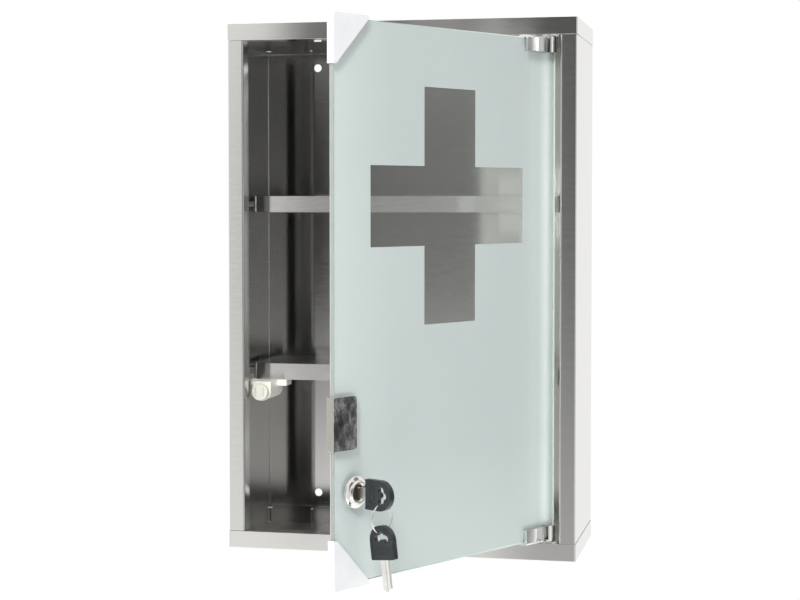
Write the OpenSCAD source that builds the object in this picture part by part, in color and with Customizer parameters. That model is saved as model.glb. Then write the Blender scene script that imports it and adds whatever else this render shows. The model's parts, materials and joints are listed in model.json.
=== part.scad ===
// Lockable wall cabinet for medicines: folded stainless body, two tray shelves, a frosted
// glass door on pivot clamps, a touch catch, and a cam lock with two keys on a ring.
// Frame: +X right seen from the front, +Y towards the wall, +Z up; the origin is the centre
// of the four wall holes, on the rear face.

/* [Body] */
// Outer width of the cabinet
body_w = 300; // [280:5:420]
// Outer height of the cabinet
body_h = 450; // [420:5:640]
// Outer depth of the cabinet
body_d = 120; // [110:5:180]
// Thickness of the stainless sheet
sheet = 0.8; // [0.6:0.1:1]
// Inside radius of a folded edge
bend_r = 0.6; // [0.3:0.1:0.8]
// Width of the frame that faces the front
rim = 14; // [12:1:20]
// Depth of the frame's inward return
rim_return = 16; // [14:1:18]
// Step from the face of a cap to the face of a side panel
panel_step = 0.4; // [0.1:0.1:0.6]
// Open seam between a cap and the panels that meet it
seam = 0.3; // [0.1:0.1:0.6]
// Length of the joggled tabs that lap behind a cap's wall
tab_lap = 3; // [2:0.5:5]
// Width of the side panels' rear flanges
flange_w = 58; // [54:1:70]

/* [Wall fixing] */
// Distance of a wall hole's centre inside the edge of a rear flange
hole_in = 9.9; // [8:0.1:12]
// Distance of a wall hole's centre from the end of the cabinet
hole_end = 30; // [28:1:60]
// Diameter of a wall hole
hole_d = 7; // [5:0.5:8]
// Metal left beyond a wall hole on the back panel
hole_edge = 1.6; // [1:0.1:3]
// Height of the hanging slots in the top cap
slot_h = 2.4; // [1.5:0.1:3]
// Drop of the hanging slots from the top of the cabinet
slot_drop = 4.7; // [4:0.1:6]

/* [Shelves] */
// Height of the lower shelf's top face above the base
shelf_low = 156; // [150:1:190]
// Height of the upper shelf's top face above the base
shelf_high = 303; // [260:1:330]
// Distance of the shelf fronts behind the cabinet's front
shelf_front = 40; // [36:1:50]
// Height of a shelf's front lip
lip_h = 14; // [12:1:18]
// Depth of the hem under a shelf's lip
lip_hem = 16; // [16:1:20]
// Radius of a shelf's front corners
shelf_corner = 5; // [3:0.5:8]
// Space between a shelf's end and the side panel
shelf_space = 8.5; // [6:0.5:10]
// Diameter of the studs that carry the shelves
stud_d = 4; // [3:0.5:5]

/* [Door] */
// Gap round the closed door, inside the frame
door_gap = 4; // [3.5:0.5:6]
// Thickness of the door glass
glass_t = 4; // [3:0.5:5]
// Depth of the glass's front face behind the cabinet's front
glass_depth = 6.5; // [6:0.5:8]
// Distance of the pivot from the hinge-side edge of the glass
pivot_in = 6.7; // [6.5:0.1:9]
// Angle at which the door stands open
open_deg = 60.3; // [0:0.1:110]
// Thickness of the frosted layer on the rear of the glass
film_t = 0.2; // [0.1:0.05:0.3]
// Overall width of the clear cross
cross_w = 182; // [120:1:200]
// Overall height of the clear cross
cross_h = 182; // [120:1:220]
// Width of the cross's arms
cross_arm = 61; // [40:1:80]
// Height of the cross's centre above the base
cross_z = 295.2; // [250:0.2:330]

/* [Hinge clamps] */
// Length of a clamp from the hinge-side edge of the glass
clamp_l = 40.5; // [34:0.5:50]
// Height of a clamp
clamp_h = 12.8; // [12:0.2:20]
// Thickness of a clamp's cheeks
cheek_t = 2.4; // [2:0.1:3]
// Thickness of the rubber pads
pad_t = 0.6; // [0.4:0.1:1.5]
// Radius of a clamp's barrel
barrel_r = 7; // [6.8:0.1:7.5]
// Diameter of the pivot pins
pin_d = 5; // [4:0.5:6]

/* [Lock] */
// Distance of the lock's axis from the free edge of the glass
lock_in = 21.5; // [18:0.1:40]
// Height of the lock's axis above the base
lock_z = 85.3; // [80:0.1:110]
// Diameter of the lock's flange
lock_flange_d = 24; // [20:0.2:26]
// Diameter of the lock's threaded barrel
lock_barrel_d = 16; // [15:0.5:18]
// Diameter of the turning plug
plug_d = 11.9; // [10:0.1:12.5]
// Width of the cam
cam_w = 12; // [10:0.5:14]
// How far the cam reaches behind the frame's return
cam_bite = 5; // [3:0.5:8]

/* [Keys] */
// Length of a key's plastic bow
bow_l = 25.2; // [24:0.2:30]
// Width of a key's bow
bow_w = 22.4; // [20:0.2:26]
// Thickness of a key's bow
bow_t = 4.6; // [3.5:0.1:6]
// Length of a key's blade outside its bow
blade_l = 23.4; // [18:0.2:24]
// Height of a key's blade
blade_w = 8; // [6.5:0.5:8.4]
// Thickness of a key's blade
blade_t = 2; // [1.5:0.1:2.2]
// Mean diameter of the wire ring
ring_d = 21.6; // [19:0.2:26]
// Diameter of the ring's wire
wire_d = 1.2; // [0.8:0.1:1.6]
// Lean of the spare key as it hangs
spare_lean = 8; // [2:1:14]

/* [Touch catch] */
// Distance of the catch's axis from the inside of the door opening
catch_in = 10; // [9.5:0.5:14]
// Diameter of the plunger's button
button_d = 14.6; // [12:0.2:16]
// Travel of the plunger
catch_travel = 3; // [2:0.5:4]

/* [Fittings] */
// Height of the chrome push plate
plate_h = 39.8; // [30:0.2:60]
// Width of the push plate across the glass
plate_w = 24.8; // [20:0.2:36]
// Height of the push plate's centre above the base
plate_z = 136.6; // [130:0.2:170]
// Thickness of the push plate's metal
plate_t = 1.4; // [0.8:0.1:1.5]
// Length of a corner guard's sides
guard_l = 40; // [30:1:60]
// Wall of a corner guard
guard_t = 1.1; // [1:0.1:1.8]
// How far a corner guard stands past the side of the glass
guard_out = 1.4; // [1.2:0.1:3]
// How far a corner guard stands past the top or foot of the glass
guard_over = 3.2; // [1.2:0.1:3.4]

/* [Hidden] */
$fn = 48;
eps = 0.01;                                  // overshoot of a cut
through = 10;                                // length of a cut that goes right through
fit_gap = 0.05;                              // radial clearance of a running fit
rest_gap = 0.15;                             // space between pieces that only rest together
bend = sheet + bend_r;                       // outer radius of a fold
wall_in = body_w / 2 - panel_step - sheet;   // inner face of a side panel
back_in = body_d - 2 * sheet;                // inner face of the back panel
open_half = body_w / 2 - rim;                // half width of the door opening
hole_x = body_w / 2 - panel_step - flange_w + hole_in;
back_w = 2 * (hole_x + hole_d / 2 + hole_edge);
tab_in = 4;                                  // tabs kept clear of the folds beside them

// Door: in its closed place, x from the cabinet's middle, y from its front, z from its base.
glass_half = open_half - door_gap;
glass_z0 = rim + door_gap;
glass_h = body_h - 2 * glass_z0;
glass_mid = glass_depth + glass_t / 2;
glass_back = glass_depth + glass_t;
glass_corner = 2;
pivot_x = glass_half - pivot_in;
film_back = glass_back + film_t;

// Hinge: plate on the cap's return, bush through both, pin riveted in the clamp.
hinge_plate_t = 1;
hinge_plate_r = 6.5;
hinge_plate_l = 14;                          // from the pivot to the plate's inner end
hinge_arm_r = 4;
hinge_ear_r = 3;
hinge_screw = [7.4, -4.2];                   // from the pivot
hinge_screw_r = 1.5;
hinge_head = [2.6, 1.9, 0.6];                // radii and height of the screw's head
hinge_slot = [2.6, 0.5, 0.3];                // length, width and depth of its recess
hinge_shank = 6;
bush_flange_t = 0.8;
bush_flange_r = 6;
bush_r = 4.5;
bush_tail = 2;                               // bush and screw below the cap's return
pin_tail = 1.5;
clamp_base = rim + hinge_plate_t + bush_flange_t + rest_gap;
clamp_w = glass_t + 2 * (pad_t + cheek_t);
clamp_edge = 2;                              // radius of a clamp's outer corners
clamp_floor = glass_z0 - clamp_base - 0.1;   // bottom of the clamp's slot
clamp_x = glass_half - clamp_l;              // inner end of a clamp
grub_r = 2;
grub_at = [0.3, 0.72];                       // shares of the cheek's straight part
grub_z = 0.64 * clamp_h;
grub_key_r = 1.15;
grub_key_t = 1.2;
pad_in = 0.5;                                // pads kept inside the clamp's edges
pad_l = pivot_x - barrel_r - clamp_x - 2 * pad_in;
pad_top = clamp_base + clamp_h - pad_in;

// Shelves and their studs.
shelf_w = 2 * (wall_in - shelf_space);
shelf_back = 0.4;                            // space between a shelf and the back panel
shelf_d = back_in - shelf_front - shelf_back;
stud_front = 10;
stud_rear = 12;
stud_y = [shelf_front + stud_front, shelf_front + shelf_d - stud_rear];
stud_head_r = stud_d / 2 + 1;
stud_foot_r = stud_d / 2 + 1.8;
stud_head_t = 1.2;
stud_gap = 2 * fit_gap;
stud_drop = lip_h / 2;                       // from a shelf's top face to its studs
notch_in = 2;                                // notch reaches this far in from a shelf's end

// Catch under the lower shelf's hem.
catch_x = -open_half + catch_in;
catch_top = shelf_low - lip_h;
catch_r = button_d / 2 + 0.9;                // housing's round underside
catch_h = button_d + 2.6;
catch_z = catch_top - catch_h / 2;
button_gap = rest_gap + 0.1;                 // between the button and the closed push plate
button_y = film_back + plate_t + button_gap;
button_t = 3.4;
button_ease = 0.6;
button_slot = [1.4, 1.2, 7.2];
button_slot_x = 3.6;
catch_y = button_y + button_t + catch_travel + button_gap;
catch_end = shelf_front + lip_hem;
catch_dish = 1;
stem_r = 4.5;
stem_l = 18;
spring_r = 3.2;
spring_wire = 0.7;
spring_turns = 6;
spring_gap = 0.2;
bore_wall = 3;
bore_end = catch_end - bore_wall;
ear_w = 16.4;                                // from the catch's axis to an ear's end
ear_t = 5.5;
catch_screw_x = (ear_w + catch_r) / 2;
catch_screw_y = catch_end - lip_hem / 2 + 1;
catch_screw_r = 1.2;
catch_head = [1.8, 2.8, 1.5];
catch_slot = [2.8, 0.6, 0.7];

// Lock and cam.
lock_x = -glass_half + lock_in;
gasket_t = 0.8;
gasket_in = 0.8;                             // gasket inside the flange's edge
flange_t = 2.4;
flange_rim = 1.1;                            // flange's height at its edge
flange_dome = 1.2;                           // width of the slope behind that edge
bezel_t = 2;
bezel_r = 8.8;
bezel_wall = 1.6;
bezel_ease = 0.8;
flange_y = glass_depth - gasket_t - flange_t;
cam_y = rim_return + 3.5;                    // front face of the cam
cam_t = 1.6;
cam_boss = 2;                                // cam's hub past its arm
nut_t = 4;
nut_r = 12;
nut_washer_t = 0.6;
thread_pitch = 1.25;
thread_depth = 0.6;
thread_start = film_back + 1;
thread_n = floor((cam_y - thread_start - thread_pitch) / thread_pitch);
plug_y = flange_y - 0.4;
plug_sq = 8;
plug_tail = cam_t + 0.9;
keyway_end = cam_y - 1.6;
keyway_gap = 0.15;
cam_reach = lock_x + open_half + cam_bite;   // from the lock's axis to the cam's tip
cam_screw_r = 2;
cam_screw_l = 3.4;
cam_head_r = 6;
cam_head_t = 1.9;
cam_slot = [4.8, 0.9, 1];

// Keys: made with the bow's shoulder at y = 0, the blade towards +y.
key_play = 0.2;                              // between the blade's tip and the keyway's end
key_y = keyway_end - key_play - blade_l;     // the shoulder's place in the lock
bow_ease = 1.5;                              // radius of the shoulder's corners
bow_rim = 1.8;                               // width of the raised rim
bow_sunk = 0.45;                             // depth of the field inside the rim
bow_socket = 5;                              // blade's root inside the bow
lobe_r = 2.7;                                // the eye's two side lobes
lobe_off = 4;
lobe_y = -15.2;
crown_r = 2.4;                               // the eye's third lobe, towards the round end
crown_y = -18.2;
horn_r = 2.6;                                // bump into the eye from the shoulder's side
horn_y = -12.4;
grip_y = [-9.8, -4];                         // field of grip grooves
grip_half = 8.2;
grip_n = 7;
grip_w = 0.6;
grip_depth = 0.3;
wire_r = wire_d / 2;
ring_r = ring_d / 2;
wire_bow = ring_r - sqrt(ring_r * ring_r - bow_t * bow_t / 4);
wire_gap = wire_r + wire_bow + rest_gap;     // wire's centre from the edge it hangs on
ring_y = key_y + lobe_y;
ring_top = lock_z - lobe_off - lobe_r + wire_gap;
spare_play = 0.35;
spare_eye_y = crown_y - crown_r + wire_gap + spare_play;
tip_l = 2.5;                                 // blade's pointed end
tip_half = 0.8;
bit_y = 6;                                   // first cut of the bitting
bit_pitch = 2.4;
bit_flat = 0.8;
bit_slope = 0.7;
bit_min = 0.7;
bit_step = 0.45;
groove_w = 0.9;
groove_t = 0.3;

// ---- helpers ------------------------------------------------------------------

// Cabinet coordinates: x from the middle, y from the front plane, z from the base.
module cab() translate([0, -body_d, -body_h / 2]) children();

// The door's pieces are made closed and then swung open about the pivot.
module door() cab() translate([pivot_x, glass_mid, 0]) rotate(open_deg)
  translate([-pivot_x, -glass_mid, 0]) children();

// A cylinder from y to y + l along +Y.
module ycyl(r, l, y = 0) translate([0, y, 0]) rotate([-90, 0, 0]) cylinder(r = r, h = l);

// Both sides of the cabinet's middle.
module both_x() for (s = [0, 1]) mirror([s, 0, 0]) children();

// The top copy of something made at the base.
module at_top() translate([0, 0, body_h]) mirror([0, 0, 1]) children();

module round_rect(w, d, r) {
  translate([-w / 2 + r, 0]) square([w - 2 * r, d]);
  translate([-w / 2, r]) square([w, d - 2 * r]);
  for (x = [-w / 2 + r, w / 2 - r], y = [r, d - r]) translate([x, y]) circle(r);
}

// A quarter of a folded edge, from angle 0 to 90.
module bend_quarter() intersection() {
  difference() {
    circle(bend);
    circle(bend_r);
  }
  square(2 * bend);
}

// Section of a folded sheet: straight runs along +x with the sheet on their left, each
// followed by a fold to the left.
module fold(runs, i = 0) {
  square([runs[i], sheet]);
  if (i < len(runs) - 1) translate([runs[i], bend]) {
    rotate(-90) bend_quarter();
    translate([bend, 0]) rotate(90) fold(runs, i + 1);
  }
}

// ---- body ---------------------------------------------------------------------

// Rear flange, wall, front face and inward return in one folded section.
module side_panel() {
  width = rim - panel_step;
  depth = body_d - panel_step;
  end = rim + seam;
  difference() {
    union() {
      translate([0, 0, end]) linear_extrude(body_h - 2 * end)
        translate([-body_w / 2 + panel_step + flange_w, body_d]) rotate(180)
          fold([flange_w - bend, depth - 2 * bend, width - 2 * bend,
                rim_return - panel_step - bend]);
      for (top = [0, 1]) translate([0, 0, top * body_h]) mirror([0, 0, top]) side_tabs();
    }
    wall_holes();
  }
}

// Joggled tabs that reach down inside a cap's walls.
module side_tabs() {
  tall = rim + seam + tab_lap - sheet;
  translate([-body_w / 2 + sheet, rim_return + tab_in / 2, sheet])
    cube([sheet, body_d - rim_return - 1.5 * tab_in, tall]);
  translate([-body_w / 2 + tab_in, body_d - 2 * sheet, sheet])
    cube([body_w / 2 - back_w / 2 - 1.5 * tab_in, sheet, tall]);
}

module wall_holes() for (x = [-1, 1], z = [hole_end, body_h - hole_end])
  translate([x * hole_x, 0, z]) ycyl(hole_d / 2, through, body_d - through / 2);

// Flat between the flanges, its two ends joggled one sheet further in.
module back_sheet() difference() {
  union() {
    translate([-back_w / 2, body_d - 2 * sheet, rim + seam])
      cube([back_w, sheet, body_h - 2 * (rim + seam)]);
    for (top = [0, 1]) translate([0, 0, top * body_h]) mirror([0, 0, top])
      translate([-back_w / 2, body_d - 3 * sheet, sheet])
        cube([back_w, sheet, rim + tab_lap - sheet]);
  }
  wall_holes();
  at_top() hang_slots();
}

// Tray with four upright walls; the front wall has an inward return.
module cap_tray() difference() {
  union() {
    difference() {
      linear_extrude(rim) round_rect(body_w, body_d, bend);
      translate([0, sheet, sheet]) linear_extrude(rim)
        round_rect(body_w - 2 * sheet, body_d - 2 * sheet, bend_r);
    }
    translate([-body_w / 2 + bend, sheet / 2, rim - sheet])
      cube([body_w - 2 * bend, rim_return - sheet / 2, sheet]);
  }
  translate([pivot_x, glass_mid, 0]) {
    translate([0, 0, rim / 2]) cylinder(r = bush_r + fit_gap, h = rim);
    translate([hinge_screw[0], hinge_screw[1], rim / 2])
      cylinder(r = hinge_screw_r + fit_gap, h = rim);
  }
}

// Slots beside the upper wall holes, made at the base and used at the top.
module hang_slots() both_x()
  translate([hole_x - hole_d / 2, body_d - through / 2, slot_drop - slot_h / 2])
    cube([hole_d, through, slot_h]);

// ---- shelves ------------------------------------------------------------------

// Plan of a shelf, square at the rear and rounded at the front.
module shelf_plan(inset) {
  w = shelf_w - 2 * inset;
  r = shelf_corner - inset;
  translate([-w / 2, inset + r]) square([w, shelf_d - inset - r]);
  translate([-w / 2 + r, inset]) square([w - 2 * r, shelf_d - inset]);
  for (s = [-1, 1]) translate([s * (w / 2 - r), inset + r]) circle(r);
}

// Open tray, top face at z = 0: lip and ends in one wrapped wall, with a hem below the lip.
module shelf_tray() translate([0, shelf_front, -lip_h]) difference() {
  union() {
    difference() {
      linear_extrude(lip_h) shelf_plan(0);
      translate([0, 0, -eps]) linear_extrude(lip_h - sheet + eps) shelf_plan(sheet);
      translate([-body_w, shelf_d - 2 * sheet, -eps])
        cube([2 * body_w, through, lip_h - sheet]);
    }
    translate([-shelf_w / 2 + shelf_corner, sheet / 2, 0])
      cube([shelf_w - 2 * shelf_corner, lip_hem - sheet / 2, sheet]);
  }
  both_x() for (y = stud_y)
    translate([shelf_w / 2 - notch_in, y - shelf_front, 0]) stud_notch();
  for (s = [-1, 1])
    translate([catch_x + s * catch_screw_x, catch_screw_y - shelf_front, -eps])
      cylinder(r = catch_screw_r, h = 2 * sheet);
}

// Keyed notch that drops over a stud.
module stud_notch() {
  r = stud_d / 2 + stud_gap;
  translate([0, -r, -eps]) cube([2 * notch_in, 2 * r, lip_h - stud_drop]);
  translate([0, 0, lip_h - stud_drop]) rotate([0, 90, 0]) cylinder(r = r, h = 2 * notch_in);
}

module shelf_stud() rotate([0, 90, 0]) {
  neck = shelf_w / 2 - sheet - 2 * stud_gap;
  translate([0, 0, neck - stud_head_t]) cylinder(r = stud_head_r, h = stud_head_t);
  translate([0, 0, neck - stud_gap]) cylinder(r = stud_d / 2, h = wall_in - neck + stud_gap);
  translate([0, 0, wall_in - stud_head_t]) cylinder(r = stud_foot_r, h = stud_head_t);
}

// ---- hinges -------------------------------------------------------------------

// Oval plate under the pivot with an ear for its screw.
module hinge_plate() translate([pivot_x, glass_mid, rim]) difference() {
  arm = hinge_plate_l - hinge_arm_r;
  union() {
    cylinder(r = hinge_plate_r, h = hinge_plate_t);
    translate([-arm, 0, 0]) cylinder(r = hinge_arm_r, h = hinge_plate_t);
    translate([-arm, -hinge_arm_r, 0]) cube([arm, 2 * hinge_arm_r, hinge_plate_t]);
    translate([hinge_screw[0], hinge_screw[1], 0])
      cylinder(r = hinge_ear_r, h = hinge_plate_t);
    rotate(atan2(hinge_screw[1], hinge_screw[0])) translate([0, -hinge_ear_r, 0])
      cube([norm(hinge_screw), 2 * hinge_ear_r, hinge_plate_t]);
  }
  translate([0, 0, -eps]) cylinder(r = bush_r + fit_gap, h = 2 * hinge_plate_t);
  translate([hinge_screw[0], hinge_screw[1], -eps])
    cylinder(r = hinge_screw_r + fit_gap, h = 2 * hinge_plate_t);
}

// Low coned head with a cross recess, and its shank through the return.
module hinge_plate_screw()
  translate([pivot_x + hinge_screw[0], glass_mid + hinge_screw[1], rim + hinge_plate_t]) {
    difference() {
      cylinder(r1 = hinge_head[0], r2 = hinge_head[1], h = hinge_head[2]);
      cross_recess(hinge_slot, hinge_head[2]);
    }
    translate([0, 0, -hinge_shank]) cylinder(r = hinge_screw_r, h = hinge_shank);
  }

// Cross recess sunk from height z; its size is length, width and depth.
module cross_recess(size, z) for (a = [0, 90]) rotate(a)
  translate([-size[0] / 2, -size[1] / 2, z - size[2]]) cube([size[0], size[1], 2 * size[2]]);

// Flanged bush that the pin turns in; the lower one carries the door.
module hinge_bush() translate([pivot_x, glass_mid, rim]) difference() {
  union() {
    translate([0, 0, hinge_plate_t]) cylinder(r = bush_flange_r, h = bush_flange_t);
    translate([0, 0, -sheet - bush_tail])
      cylinder(r = bush_r, h = sheet + bush_tail + hinge_plate_t + bush_flange_t / 2);
  }
  translate([0, 0, -through]) cylinder(r = pin_d / 2 + fit_gap, h = 2 * through);
}

// Riveted in the clamp's bridge and turning in the bush.
module hinge_pin() translate([pivot_x, glass_mid, rim - sheet - pin_tail])
  cylinder(r = pin_d / 2, h = clamp_base + clamp_floor - rim + sheet + pin_tail - 2 * eps);

// U-shaped clamp that slips over the glass, with a round barrel at the pivot.
module clamp() translate([0, glass_mid, clamp_base]) difference() {
  union() {
    translate([clamp_x, 0, 0]) rotate([90, 0, 90])
      linear_extrude(pivot_x - clamp_x) clamp_section();
    translate([pivot_x, 0, 0]) cylinder(r = barrel_r, h = clamp_h);
  }
  translate([clamp_x - 1, -glass_t / 2 - pad_t, clamp_floor])
    cube([clamp_l + 2 * barrel_r, glass_t + 2 * pad_t, clamp_h]);
  translate([pivot_x, 0, -eps]) cylinder(r = pin_d / 2, h = clamp_floor + 1);
  for (x = grub_x())
    translate([x, 0, grub_z]) ycyl(grub_r, 2 * cheek_t, glass_t / 2 + pad_t / 2);
}

function grub_x() = [for (k = grub_at) clamp_x + k * (pad_l + pad_in)];

// Outline across the glass, the two outer corners rounded.
module clamp_section() {
  r = clamp_edge;
  translate([-clamp_w / 2, r]) square([clamp_w, clamp_h - r]);
  translate([-clamp_w / 2 + r, 0]) square([clamp_w - 2 * r, clamp_h]);
  for (s = [-1, 1]) translate([s * (clamp_w / 2 - r), r]) circle(r);
}

module clamp_pad_pair() for (y = [glass_depth - pad_t, glass_back])
  translate([clamp_x + pad_in, y, glass_z0 + pad_in])
    cube([pad_l, pad_t, pad_top - glass_z0 - pad_in]);

module clamp_grub_pair() for (x = grub_x())
  translate([x, glass_back + pad_t, clamp_base + grub_z]) difference() {
    ycyl(grub_r, cheek_t - 2 * eps);
    translate([0, cheek_t - grub_key_t, 0]) rotate([-90, 0, 0])
      cylinder(r = grub_key_r, h = 2 * grub_key_t, $fn = 6);
  }

// ---- door ---------------------------------------------------------------------

module glass_outline()
  translate([0, glass_z0]) round_rect(2 * glass_half, glass_h, glass_corner);

module cross_outline() translate([0, cross_z]) {
  square([cross_w, cross_arm], center = true);
  square([cross_arm, cross_h], center = true);
}

// Where the frosted layer gives way to a clamp's rear pad.
module clamp_window() translate([clamp_x, 0])
  square([clamp_l + 1, pad_top + pad_in]);

// Extrudes an outline drawn in x and z along +Y from y.
module upright(y, t) translate([0, y + t, 0]) rotate([90, 0, 0]) linear_extrude(t) children();

module lock_hole() translate([lock_x, 0, lock_z])
  ycyl(lock_barrel_d / 2 + 2 * rest_gap, 2 * glass_back);

// Chrome U pressed over the free edge, its corners rounded.
module u_plate() {
  r = 2 * plate_t;
  x0 = -glass_half - plate_t - 5 * rest_gap;
  y0 = glass_depth - plate_t - fit_gap;
  wrap = glass_t + film_t + 2 * (plate_t + fit_gap);
  difference() {
    upright(y0, wrap) translate([x0, plate_z - plate_h / 2]) {
      square([plate_w - r, plate_h]);
      translate([0, r]) square([plate_w, plate_h - 2 * r]);
      for (z = [r, plate_h - r]) translate([plate_w - r, z]) circle(r);
    }
    translate([x0 + plate_t, y0 + plate_t, plate_z - plate_h])
      cube([plate_w, wrap - 2 * plate_t, 2 * plate_h]);
  }
}

// Triangular pocket over a corner of the glass.
module corner_guard()
  translate([-glass_half - guard_out, glass_depth - guard_t, glass_z0 - guard_over]) {
    room = glass_t + film_t + 2 * fit_gap;
    difference() {
      upright(0, room + 2 * guard_t - fit_gap) guard_outline();
      translate([guard_out - fit_gap, guard_t - fit_gap, guard_over - fit_gap])
        cube([guard_l, room, guard_l]);
    }
  }

// Right triangle, its square corner rounded and its two points cut off.
module guard_outline() {
  ease = 2 * guard_out;
  tip = guard_over;
  difference() {
    union() {
      translate([ease, 0]) square([guard_l - tip - ease, guard_l - tip]);
      translate([0, ease]) square([guard_l - tip, guard_l - tip - ease]);
      translate([ease, ease]) circle(ease);
    }
    translate([guard_l, 0]) rotate(45) square(2 * guard_l);
  }
}

// ---- lock ---------------------------------------------------------------------

module at_lock() translate([lock_x, 0, lock_z]) children();

// Domed flange, raised bezel and threaded barrel, bored for the plug.
module lock_shell() at_lock() {
  flange_r = lock_flange_d / 2;
  bezel_y = flange_y - bezel_t;
  difference() {
    union() {
      rotate([-90, 0, 0]) rotate_extrude() polygon([
        [0, bezel_y], [bezel_r - bezel_ease, bezel_y], [bezel_r, bezel_y + bezel_ease],
        [bezel_r, flange_y], [flange_r - flange_dome, flange_y + flange_t / 4],
        [flange_r, flange_y + flange_t - flange_rim], [flange_r, flange_y + flange_t],
        [0, flange_y + flange_t]]);
      ycyl(lock_barrel_d / 2 - thread_depth, cam_y - rest_gap - flange_y - 1, flange_y + 1);
      for (k = [0 : thread_n])
        ycyl(lock_barrel_d / 2, thread_pitch / 2, thread_start + k * thread_pitch);
    }
    ycyl(plug_d / 2 + fit_gap, 2 * cam_y, bezel_y - 1);
    ycyl(bezel_r - bezel_wall, bezel_t, bezel_y - rest_gap);
  }
}

module gasket() at_lock() difference() {
  ycyl(lock_flange_d / 2 - gasket_in, gasket_t, glass_depth - gasket_t);
  ycyl(lock_barrel_d / 2 + fit_gap, through, glass_depth - through / 2);
}

// Hexagon nut with a washer face.
module ring_nut() at_lock() difference() {
  union() {
    ycyl(nut_r * cos(30), nut_washer_t, film_back);
    translate([0, film_back + nut_washer_t, 0]) rotate([-90, 0, 0])
      cylinder(r = nut_r, h = nut_t - nut_washer_t, $fn = 6);
  }
  ycyl(lock_barrel_d / 2 + fit_gap, through, film_back - 1);
}

// Turning plug with a keyway, a square tail and a tapped hole.
module plug() at_lock() difference() {
  key_slot = [blade_t + 2 * keyway_gap, keyway_end - plug_y + 1, blade_w + 2 * keyway_gap];
  union() {
    ycyl(plug_d / 2, cam_y - plug_y, plug_y);
    translate([-plug_sq / 2, cam_y - 1, -plug_sq / 2]) cube([plug_sq, plug_tail + 1, plug_sq]);
  }
  translate([-key_slot[0] / 2, plug_y - 1, -key_slot[2] / 2]) cube(key_slot);
  ycyl(cam_screw_r + fit_gap, through, cam_y + plug_tail - cam_screw_l - 2 * rest_gap);
}

// Flat cam, hanging down when unlocked; a quarter turn sets it behind the frame.
module cam() at_lock() difference() {
  arm = cam_reach - cam_w / 2;
  hole = plug_sq + 2 * fit_gap;
  union() {
    ycyl(cam_w / 2 + cam_boss, cam_t, cam_y);
    translate([-cam_w / 2, cam_y, -arm]) cube([cam_w, cam_t, arm]);
    translate([0, 0, -arm]) ycyl(cam_w / 2, cam_t, cam_y);
  }
  translate([-hole / 2, cam_y - 1, -hole / 2]) cube([hole, 2 * cam_t, hole]);
}

module screw_of_cam() at_lock() translate([0, cam_y + plug_tail + fit_gap, 0]) {
  rotate([-90, 0, 0]) difference() {
    cylinder(r = cam_head_r, h = cam_head_t);
    cross_recess(cam_slot, cam_head_t);
  }
  ycyl(cam_screw_r, cam_screw_l + eps, -cam_screw_l);
}

// ---- keys ---------------------------------------------------------------------

// Outline of a bow: square at the shoulder, round at the far end.
module bow_outline() {
  r = bow_w / 2;
  translate([-bow_l + r, -r]) square([bow_l - r - bow_ease, bow_w]);
  translate([-bow_l + r, bow_ease - r]) square([bow_l - r, bow_w - 2 * bow_ease]);
  translate([-bow_l + r, 0]) circle(r);
  for (s = [-1, 1]) translate([-bow_ease, s * (r - bow_ease)]) circle(bow_ease);
}

// Three-lobed eye with a bump on the shoulder's side.
module eye_outline() difference() {
  union() {
    for (s = [-1, 1]) translate([lobe_y, s * lobe_off]) circle(lobe_r);
    translate([crown_y, 0]) circle(crown_r);
    translate([crown_y, -lobe_off]) square([lobe_y + lobe_r - crown_y - 1, 2 * lobe_off]);
  }
  translate([horn_y, 0]) circle(horn_r);
}

// Stands a plan drawn along -x up in the key's own plane, from x to x + t.
module key_plan(x, t) translate([x, 0, 0]) rotate([0, -90, 0]) rotate(90)
  translate([0, 0, -t]) linear_extrude(t) children();

// Bow with a raised rim, a sunk field and a grid of grip grooves on one face.
module bow() difference() {
  key_plan(-bow_t / 2, bow_t) difference() {
    bow_outline();
    eye_outline();
  }
  for (x = [-bow_t / 2 - bow_sunk, bow_t / 2 - bow_sunk])
    key_plan(x, 2 * bow_sunk) field_outline();
  for (k = [0 : grip_n - 1]) let (z = -grip_half + (k + 0.5) * 2 * grip_half / grip_n)
    translate([-bow_t / 2, grip_y[0], z - grip_w / 2])
      cube([bow_sunk + grip_depth, grip_y[1] - grip_y[0], grip_w]);
  for (k = [0 : 3]) translate([-bow_t / 2, grip_y[0] + k * (grip_y[1] - grip_y[0] - grip_w) / 3,
                               -grip_half])
    cube([bow_sunk + grip_depth, grip_w, 2 * grip_half]);
  translate([-blade_t / 2, -bow_socket, -blade_w / 2]) cube([blade_t, 2 * bow_socket, blade_w]);
}

// The bow's outline inside its rim, open at the shoulder.
module field_outline() {
  r = bow_w / 2 - bow_rim;
  translate([-bow_l + bow_w / 2, -r]) square([bow_l, 2 * r]);
  translate([-bow_l + bow_w / 2, 0]) circle(r);
}

// Flat steel blade with a pointed tip, a groove along each face and cut bits.
module blade() difference() {
  top = blade_w / 2;
  translate([-blade_t / 2, 0, 0]) rotate([90, 0, 90]) linear_extrude(blade_t) polygon(concat(
    [[-bow_socket, -top], [blade_l - tip_l, -top], [blade_l, -tip_half], [blade_l, tip_half],
     [blade_l - tip_l, top - bit_min]],
    [for (k = [4 : -1 : 0]) let (y = bit_y + k * bit_pitch)
      each [[y + bit_slope + bit_flat, top - cut_depth(k)],
            [y + bit_slope, top - cut_depth(k)], [y, top]]],
    [[-bow_socket, top]]));
  for (s = [-1, 1]) translate([s * blade_t / 2 - groove_t, groove_w, -2 * groove_w])
    cube([2 * groove_t, blade_l, groove_w]);
}

function cut_depth(k) = bit_min + bit_step * (k * k % 4);

// Places a key in the lock, or hanging from the ring.
module in_lock() at_lock() translate([0, key_y, 0]) children();

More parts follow.
